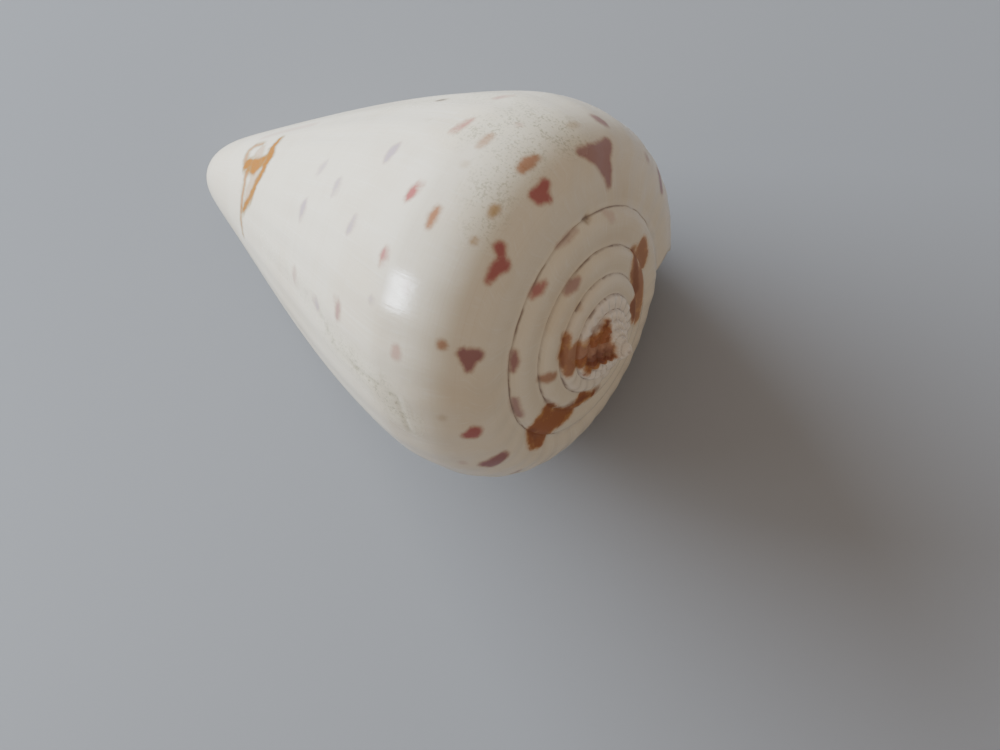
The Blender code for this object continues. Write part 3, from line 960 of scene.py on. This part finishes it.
def paintShell(paint, tipRuns):
    tree = paint.tree
    uv = tree.nodes.new("ShaderNodeUVMap")
    uv.uv_map = "growth"
    turn, station, _ = partsOf(tree, Flow(tree, uv.outputs[0]))

    def along(stretch, height):
        # a place on the coil, stretched so that noise there runs in lines
        return vectorOf(tree, turn * stretch[0], station * stretch[1], height)

    def ragged(depth, coarseAndFine):
        # a mark's depth with its edge broken up
        coarse, small = coarseAndFine
        return depth + (middle - 0.5) * coarse + (fine - 0.5) * small

    fine = paint.noise(finish["fineScale"], 3.0, 0.6)
    middle = paint.noise(finish["middleScale"], 3.0, 0.55)
    broad = paint.noise(finish["broadScale"], 3.0, 0.5)
    lines = paint.noise(1.0, 3.0, 0.6, at=along(finish["lineStretch"], 0.0))
    stripes = paint.noise(1.0, 2.0, 0.5, at=along(finish["stripeStretch"], 3.0))

    warm = (broad - 0.45).smooth(0.0, 0.2) * finish["warmShare"]
    pale = (lines - 0.5).smooth(0.0, 0.25) * finish["lineShare"]
    striped = (stripes - 0.52).smooth(0.0, 0.2) * finish["stripeShare"]
    colour = paint.layer(finish["cream"], finish["creamWarm"], warm)
    colour = paint.layer(colour, finish["creamPale"], pale)
    colour = paint.layer(colour, finish["creamWarm"], striped)

    # grime in fine specks
    dirt = paint.value("dirt")
    grain = paint.noise(finish["grainScale"], 2.0, 0.6)
    specks = (grain * 0.65 + middle * 0.35).smooth(0.5, 0.62)
    colour = paint.layer(colour, finish["grimePale"], dirt * finish["dirtShare"])
    colour = paint.layer(colour, finish["grime"], (specks * dirt * finish["speckShare"]).clamped())
    scar = (paint.value("scar") + middle * 1.2).smooth(0.25, 0.9)
    colour = paint.layer(colour, finish["grime"], scar * finish["scarShare"])

    blush = paint.value("blush").smooth(-0.4, 0.5) * paint.value("blushPower")
    colour = paint.layer(colour, finish["blush"], blush)

    # spots with soft, uneven edges
    tint, power = paint.colour("spotTint")
    edge = ragged(paint.value("spotDepth"), finish["spotRag"])
    tint = paint.layer(finish["spotRim"], tint, (edge + middle * 0.5).smooth(0.0, 0.65) * 0.6 + 0.4)
    cover = edge.smooth(-finish["spotSoft"], finish["spotSoft"]) * power
    colour = paint.layer(colour, tint, cover * (0.86 + broad * 0.2))

    # the oldest whorls are worn pale
    outside = 1.0 - paint.value("inside")
    worn = turn.smooth(*finish["wornTurns"]) * (0.35 + middle * 0.5)
    colour = paint.layer(colour, finish["bead"], worn * outside)

    # sutures: a thin brown line, broken here and there, partly the brown line in the sutures and partly
    # painted shade in their grooves
    suture = paint.value("suture")
    gap = paint.noise(1.0, 2.0, 0.5, at=vectorOf(tree, turn * 21.0 + broad * 4.0, station * 2.0, 7.0))
    line = 1.0 - (suture + (middle - 0.5) * 0.16).smooth(0.0, finish["sutureWidth"])
    broken = 0.25 + gap.smooth(0.42, 0.62) * 0.6
    strength = 1.0 - turn.smooth(*finish["cleanTurns"]) * 0.75
    colour = paint.layer(colour, finish["sutureLineAndShade"], line * broken * strength * outside)

    # rust in the spire's grooves, with darker brown at the patches' edges; the dark run along the deep groove
    # at the spire's right is painted shade
    rust = ragged(paint.value("spireStain"), finish["stainRag"])
    thick = (rust * 0.4 + middle + fine * 0.3).smooth(0.55, 0.95)
    tone = paint.layer(finish["stainPale"], finish["stain"], thick)
    stained = rust.smooth(*finish["stainSoft"]) * paint.value("spireStainPower")
    colour = paint.layer(colour, tone, stained * finish["stainShare"])
    deep = ragged(paint.value("spireDarkAndShade"), finish["darkRag"])
    darkenedAndShaded = deep.smooth(*finish["stainSoft"]) * paint.value("spireDarkAndShadePower")
    colour = paint.layer(colour, finish["stainDarkAndShade"], darkenedAndShaded * finish["darkAndShadeShare"])

    # ochre lines at the front tip, olive at their edges
    for power, ends in tipRuns:
        tip = ragged(paint.run(ends), finish["stainRag"])
        tipTone = paint.layer(finish["olive"], finish["ochre"], tip.smooth(-0.15, 0.45))
        colour = paint.layer(colour, tipTone, tip.smooth(*finish["ochreSoft"]) * power)
    feed(tree, paint.shader.inputs["Base Color"], colour)

    # gloss worn dull where it is dirty, and fine pits and growth lines
    dull = finish["roughness"] + dirt * finish["dirtDull"] + (middle - 0.5) * 0.1
    dull = dull + rust.smooth(-0.2, 0.3) * finish["rustDull"]
    feed(tree, paint.shader.inputs["Roughness"], dull.clamped(finish["leastRough"], finish["mostRough"]))
    bump = tree.nodes.new("ShaderNodeBump")
    bump.inputs["Strength"].default_value = finish["bumpStrength"]
    bump.inputs["Distance"].default_value = finish["bumpDistance"]
    feed(tree, bump.inputs["Height"], lines * 0.5 + middle * 0.35 + fine * 0.12 - specks * dirt * 0.15)
    tree.links.new(bump.outputs[0], paint.shader.inputs["Normal"])


paint = Paint("wornShell")
shell = makeShell(paint.material)
cast = makeCaster(shell)
tipRuns = [(power, castAll(cast, pixels)) for power, pixels in tipStain.values()]
markShell(shell, cast)
paintShell(paint, tipRuns)
print("shell painted")


# Floor and light

studio = {
    "floorColour": (0.305, 0.31, 0.33, 1.0), "floorRoughness": 0.6, "floorSize": 3.0,
    "skyColour": (1.0, 0.88, 0.76, 1.0), "skyStrength": 0.46,
}
lights = {
    "window": {
        "place": (-0.76, 0.07, 0.21), "aim": (0, 0, 0.02), "size": (0.8, 0.5),
        "power": 29.5, "colour": (0.79, 0.90, 1.0), "glossy": False,
    },
    "windowPane": {                            # only the bright reflection on the gloss
        "place": (-0.476, -0.371, 0.388), "aim": (0.012, -0.01, 0.04), "size": (0.13, 0.15),
        "power": 4.5, "colour": (0.9, 0.95, 1.0), "glossy": True,
    },
}


def makeFloor():
    half = studio["floorSize"] / 2
    data = bpy.data.meshes.new("floor")
    corners = [(-half, -half, 0), (half, -half, 0), (half, half, 0), (-half, half, 0)]
    data.from_pydata(corners, [], [(0, 1, 2, 3)])
    floor = bpy.data.objects.new("floor", data)
    bpy.context.collection.objects.link(floor)
    material = bpy.data.materials.new("paleFloor")
    material.use_nodes = True
    shader = material.node_tree.nodes["Principled BSDF"]
    shader.inputs["Base Color"].default_value = studio["floorColour"]
    shader.inputs["Roughness"].default_value = studio["floorRoughness"]
    data.materials.append(material)


def makeLight(name, place, aim, size, power, colour, glossy):
    data = bpy.data.lights.new(name, "AREA")
    data.shape = "RECTANGLE"
    data.size, data.size_y = size
    data.energy = power
    data.color = colour
    light = bpy.data.objects.new(name, data)
    light.location = place
    light.rotation_euler = (Vector(aim) - Vector(place)).to_track_quat("-Z", "Y").to_euler()
    light.visible_glossy = glossy
    light.visible_diffuse = not glossy
    bpy.context.collection.objects.link(light)


def makeSky():
    world = bpy.context.scene.world or bpy.data.worlds.new("World")
    bpy.context.scene.world = world
    world.use_nodes = True
    sky = world.node_tree.nodes["Background"]
    sky.inputs["Color"].default_value = studio["skyColour"]
    sky.inputs["Strength"].default_value = studio["skyStrength"]


makeFloor()
makeSky()
for name, light in lights.items():
    makeLight(name, **light)
print("floor and light set")


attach(shell, "root")
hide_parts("shell")
